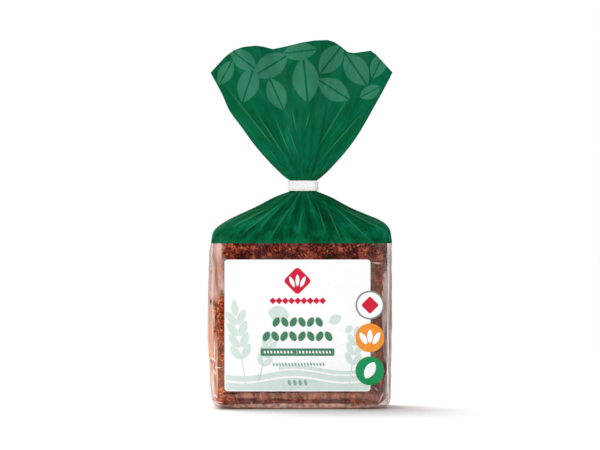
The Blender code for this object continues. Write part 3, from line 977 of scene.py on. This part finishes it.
def printed_ink(name, code, tint):
    """Ink printed under gloss film: a solid colour with a faint mottle, which is finer than a
    millimetre on real print and drawn 2.6 mm wide so that it shows."""
    paint, place = new_material(name)
    mottle = node(paint, "TexNoise", {0: place, "Scale": 380.0, "Detail": 4.0})
    tone = node(paint, "ValToRGB", {"Fac": mottle}, stops=[(0.35, tint), (0.65, code)])
    ripple = node(paint, "Bump", {"Height": mottle, "Strength": 0.06, "Distance": 0.0004})
    looks = {"Base Color": tone, "Roughness": 0.38, "Specular IOR Level": 0.2, "Normal": ripple}
    body = node(paint, "BsdfPrincipled", looks)
    node(paint, "OutputMaterial", {"Surface": body})
    return paint


def clip_material():
    """White polyethylene strip, extruded: semi-matt, with faint lines 0.4 mm apart along it."""
    plastic, place = new_material("white polyethylene strip")
    drawn = node(plastic, "VectorMath", {0: place, 1: (60.0, 60.0, 2400.0)}, operation="MULTIPLY")
    lines = node(plastic, "TexNoise", {0: drawn, "Scale": 1.0, "Detail": 3.0})
    tone = node(plastic, "ValToRGB", {"Fac": lines}, stops=[(0.3, "FAFCFA"), (0.7, "FFFFFF")])
    ripple = node(plastic, "Bump", {"Height": lines, "Strength": 0.12, "Distance": 0.0003})
    body = node(plastic, "BsdfPrincipled", {"Base Color": tone, "Roughness": 0.45, "Normal": ripple})
    node(plastic, "OutputMaterial", {"Surface": body})
    return plastic


# The clip


def strip_plate(left, right, thick, inset):
    """A flat plate of strip on the clip's front, between two places from the neck's middle."""
    deselect()
    bpy.ops.mesh.primitive_cube_add(size=1.0)
    plate = bpy.context.object
    for vertex in plate.data.vertices:
        vertex.co = (
            (NECK_SHIFT + (left + right) / 2 + vertex.co.x * (right - left)) * MM,
            (-CLIP_DEPTH / 2 - thick / 2 + 0.25 + vertex.co.y * thick) * MM,
            (CLIP_LOW + CLIP_HEIGHT / 2 + vertex.co.z * (CLIP_HEIGHT - inset)) * MM,
        )
    return plate


def clip_band():
    """The flat strip round the neck, its wires showing as ridges, its end lapped in front at the
    right and crimped at the left."""
    deselect()
    bpy.ops.mesh.primitive_cube_add(size=1.0)
    band = bpy.context.object
    for vertex in band.data.vertices:
        vertex.co = (
            (NECK_SHIFT + vertex.co.x * CLIP_WIDTH) * MM,
            vertex.co.y * CLIP_DEPTH * MM,
            (CLIP_LOW + (vertex.co.z + 0.5) * CLIP_HEIGHT) * MM,
        )
    bpy.ops.object.mode_set(mode="EDIT")
    choose(band, lambda edge: abs(edge.verts[0].co.z - edge.verts[1].co.z) > 1e-4, "edges")
    corner = (CLIP_DEPTH / 2 - 1.2) * MM
    bpy.ops.mesh.bevel(offset=corner, offset_type="OFFSET", segments=10, affect="EDGES")
    for share in (0.19, 0.25, 0.31, 0.69, 0.75, 0.81):
        bpy.ops.mesh.select_all(action="SELECT")
        bpy.ops.mesh.bisect(plane_co=(0, 0, (CLIP_LOW + share * CLIP_HEIGHT) * MM), plane_no=(0, 0, 1))
    middle = CLIP_LOW + CLIP_HEIGHT / 2
    ridge = 0.25 * CLIP_HEIGHT
    choose(band, lambda vertex: abs(abs(vertex.co.z / MM - middle) - ridge) < 0.05)
    centre = (NECK_SHIFT * MM, 0.0, middle * MM)
    bpy.ops.transform.resize(value=(1.025, 1.06, 1.0), center_override=centre)
    choose(band, lambda face: abs(face.normal.z) > 0.9 and len(face.verts) > 8, "faces")
    bpy.ops.mesh.inset(thickness=STRIP_THICK * MM)
    bpy.ops.mesh.bridge_edge_loops()
    turn_outwards()

    plates = [strip_plate(2.7, 7.3, 0.7, 0.4), strip_plate(-7.6, -6.2, 0.5, 0.2)]
    deselect()
    for plate in plates:
        plate.select_set(True)
    band.select_set(True)
    bpy.context.view_layer.objects.active = band
    bpy.ops.object.join()
    soft = band.modifiers.new("rolled edges", "BEVEL")
    soft.width = 0.14 * MM
    soft.segments = 2
    soft.limit_method = "ANGLE"
    soft.angle_limit = math.radians(40)
    apply_modifiers(band)
    bpy.ops.object.shade_smooth_by_angle(angle=math.radians(35))
    return finish_piece(band, "clip_band", clip_material(), "clip_plastic", "neck_clip")


# Light, floor and camera


def soft_light(name, place, size, watts, glossy=True):
    data = bpy.data.lights.new(name, "AREA")
    data.shape = "RECTANGLE"
    data.size, data.size_y = size
    data.energy = watts
    light = bpy.data.objects.new(name, data)
    bpy.context.scene.collection.objects.link(light)
    light.location = place
    light.visible_glossy = glossy
    aim = Vector((0.0, 0.0, 0.11)) - Vector(place)
    light.rotation_euler = aim.to_track_quat("-Z", "Y").to_euler()


def studio():
    """A white floor under a white sky, with soft boxes in front to the left, right and above."""
    scene = bpy.context.scene
    deselect()
    bpy.ops.mesh.primitive_plane_add(size=12.0, location=(0.0, 0.0, -0.0003))
    floor = bpy.context.object
    floor.name = "studio floor"
    # the paper fades into the white sky from 350 to 900 mm out, so no horizon shows
    paper, place = new_material("white paper floor")
    away = node(paper, "VectorMath", {0: place}, operation="LENGTH")
    reach = {"Value": away, "From Min": 0.35, "From Max": 0.9}
    fade = node(paper, "MapRange", reach, interpolation_type="SMOOTHSTEP")
    body = node(paper, "BsdfDiffuse", {"Color": ink("FCFCFC")})
    clear = node(paper, "BsdfTransparent")
    sheet = node(paper, "MixShader", {0: fade, 1: body, 2: clear})
    node(paper, "OutputMaterial", {"Surface": sheet})
    floor.data.materials.append(paper)

    world = bpy.data.worlds.new("white sky")
    world.use_nodes = True
    world.node_tree.nodes.clear()
    seen = node(world, "LightPath")
    bright = node(world, "Background", {"Color": ink("FFFFFF"), "Strength": 1.0})
    dim = node(world, "Background", {"Color": ink("FFFFFF"), "Strength": 0.28})
    sky = node(world, "MixShader", {0: seen.outputs["Is Camera Ray"], 1: dim, 2: bright})
    node(world, "OutputWorld", {"Surface": sky})
    scene.world = world

    soft_light("soft box front left", (-1.4, -1.7, 0.85), (1.0, 1.0), 23)
    soft_light("soft box front right", (1.5, -1.4, 0.5), (0.9, 0.9), 10)
    soft_light("soft box above", (-0.5, 0.8, 1.6), (1.2, 1.2), 33, glossy=False)
    soft_light("soft box behind", (0.6, 1.8, 1.0), (1.2, 1.0), 8, glossy=False)

    # seen from far off, straight from the front, with 372 mm across the picture at the bag's middle
    data = bpy.data.cameras.new("camera")
    data.lens = 200.0
    data.sensor_width = 36.0
    data.clip_end = 50.0
    camera = bpy.data.objects.new("camera", data)
    scene.collection.objects.link(camera)
    camera.location = (-0.93 * MM, -372 * MM * data.lens / data.sensor_width, 112.5 * MM)
    camera.rotation_euler = (math.pi / 2, 0.0, 0.0)
    scene.camera = camera
    scene.view_settings.view_transform = "Standard"


# The pack, put together

clear_film = film_tube(clear_film_grid(), "clear_film", clear_film_material(), "clear_film", 0.0)
film_tube(printed_film_grid(), "printed_film", printed_film_material(), "printed_film", FILM_WALL)
clip_band()

crumb_material = rye_crumb_material()
for k, (width, shift, high) in enumerate(SLICES):
    fine = FINE_GRID if k in (0, len(SLICES) - 1) else COARSE_GRID
    slice_of_bread(f"slice_{k + 1}", fine, (k - (len(SLICES) - 1) / 2) * SLICE_PITCH, width, shift, high)

white_ink = printed_ink("white ink under film", "FFFFFF", "F9FAF9")
pale_ink = printed_ink("pale green ink under film", "D5E5DE", "D0E0D9")
green_ink = printed_ink("green ink under film", "4A866B", "437E63")
red_ink = printed_ink("red ink under film", "D8203F", "CC1838")
grey_ink = printed_ink("grey green ink under film", "8FAFA3", "86A79B")
ring_ink = printed_ink("grey ink under film", "8C9492", "808886")
orange_ink = printed_ink("orange ink under film", "F79A35", "EF8E2B")
leaf_ink = printed_ink("leaf green ink under film", "12965A", "0C8B50")

panel = rounded_bar(LABEL_LEFT, LABEL_LOW, LABEL_RIGHT, LABEL_HIGH, 2.0)
print_piece([panel], "label_panel", white_ink, PANEL_LIFT)

field_left, field_right = LABEL_LEFT + LABEL_MARGIN, LABEL_RIGHT - LABEL_MARGIN
fields = cereal_ear(-36.5, 31.5, 4, 5.2, 8) + cereal_ear(-23.5, 27.0, 3, 3.8, -16)
fields += cereal_ear(31.0, 28.0, 3, 4.2, -8)
fields += [
    furrow(field_left, field_right, 7.8, 17.4, 1.8, 62.0, -20.0),
    furrow(field_left, field_right, 18.6, 22.0, 1.8, 62.0, -20.0),
    furrow(-14.0, field_right, 23.0, 25.2, 1.8, 62.0, -20.0),
    kernel(-14.0, 58.3, 6.6, 4.8, math.radians(78)),
    kernel(20.5, 54.8, 4.2, 3.0, math.radians(-64)),
    kernel(29.0, 48.8, 3.0, 2.1, math.radians(-40)),
]
print_piece(fields, "label_fields", pale_ink, FIELD_LIFT)

# two rows of kernels and a bar stand where a pack has its title
title = []
for count, left, right, low, high in ((6, -18.1, 13.4, 50.1, 56.4), (8, -24.2, 19.2, 41.3, 47.8)):
    pitch = (right - left) / count
    for k in range(count):
        turn = math.radians(28 if k % 2 else -28)
        middle = left + (k + 0.5) * pitch
        title.append(kernel(middle, (low + high) / 2, (high - low) / 2, pitch * 0.38, turn, 1.2))
title.append(rounded_bar(-25.0, 32.6, 20.0, 37.1, 0.8))
print_piece(title, "label_title", green_ink, SHAPE_LIFT)

bar_marks = [kernel(-22.5 + 2.05 * k, 34.85, 1.0, 0.55, 0.3) for k in range(9)]
bar_marks += [kernel(-1.0 + 2.05 * k, 34.85, 1.0, 0.55, 0.3) for k in range(10)]
bar_marks.append(rounded_bar(-3.05, 33.5, -2.8, 36.2, 0.1))
print_piece(bar_marks, "label_bar_marks", white_ink, MARK_LIFT)

small = [kernel(-17.0 + 1.9 * k, 27.4, 1.1, 0.5, 0.3) for k in range(17)]
small += [kernel(-7.4 + 3.3 * k, 16.2, 2.0, 0.95, 0.3) for k in range(4)]
print_piece(small, "label_small_marks", grey_ink, SHAPE_LIFT)

red = [rounded_bar(-8.7, 72.2, 3.7, 84.6, 2.2, math.radians(45))]
red += [rounded_bar(-19.0 + 3.8 * k, 64.7, -16.0 + 3.8 * k, 67.7, 0.3, math.radians(45)) for k in range(9)]
print_piece(red, "label_mark", red_ink, SHAPE_LIFT)
mark = [kernel(-2.5 + 3.3 * k, 77.8 + (0.9 if k == 0 else 0.0), 3.6, 1.2, -0.42 * k) for k in (-1, 0, 1)]
print_piece(mark, "label_mark_kernels", white_ink, MARK_LIFT)

one, two, three = BADGE_HEIGHTS
print_piece([disc(BADGE_X, one, BADGE_RADIUS)], "badge_ring", ring_ink, SHAPE_LIFT)
print_piece([disc(BADGE_X, one, BADGE_RADIUS - 1.0)], "badge_white", white_ink, MARK_LIFT)
print_piece([disc(BADGE_X, two, BADGE_RADIUS)], "badge_orange", orange_ink, SHAPE_LIFT)
print_piece([disc(BADGE_X, three, BADGE_RADIUS)], "badge_green", leaf_ink, SHAPE_LIFT)
lozenge = rounded_bar(BADGE_X - 3.9, one - 3.9, BADGE_X + 3.9, one + 3.9, 1.2, math.radians(45))
print_piece([lozenge], "badge_lozenge", red_ink, TOP_LIFT)
badge_marks = []
for k in (-1, 0, 1):
    badge_marks.append(kernel(BADGE_X + 4.0 * k, two + (0.9 if k == 0 else -0.3), 4.2, 1.7, -0.5 * k))
badge_marks.append(kernel(BADGE_X, three + 0.4, 5.6, 3.2, -0.5))
print_piece(badge_marks, "badge_kernels", white_ink, MARK_LIFT)

studio()
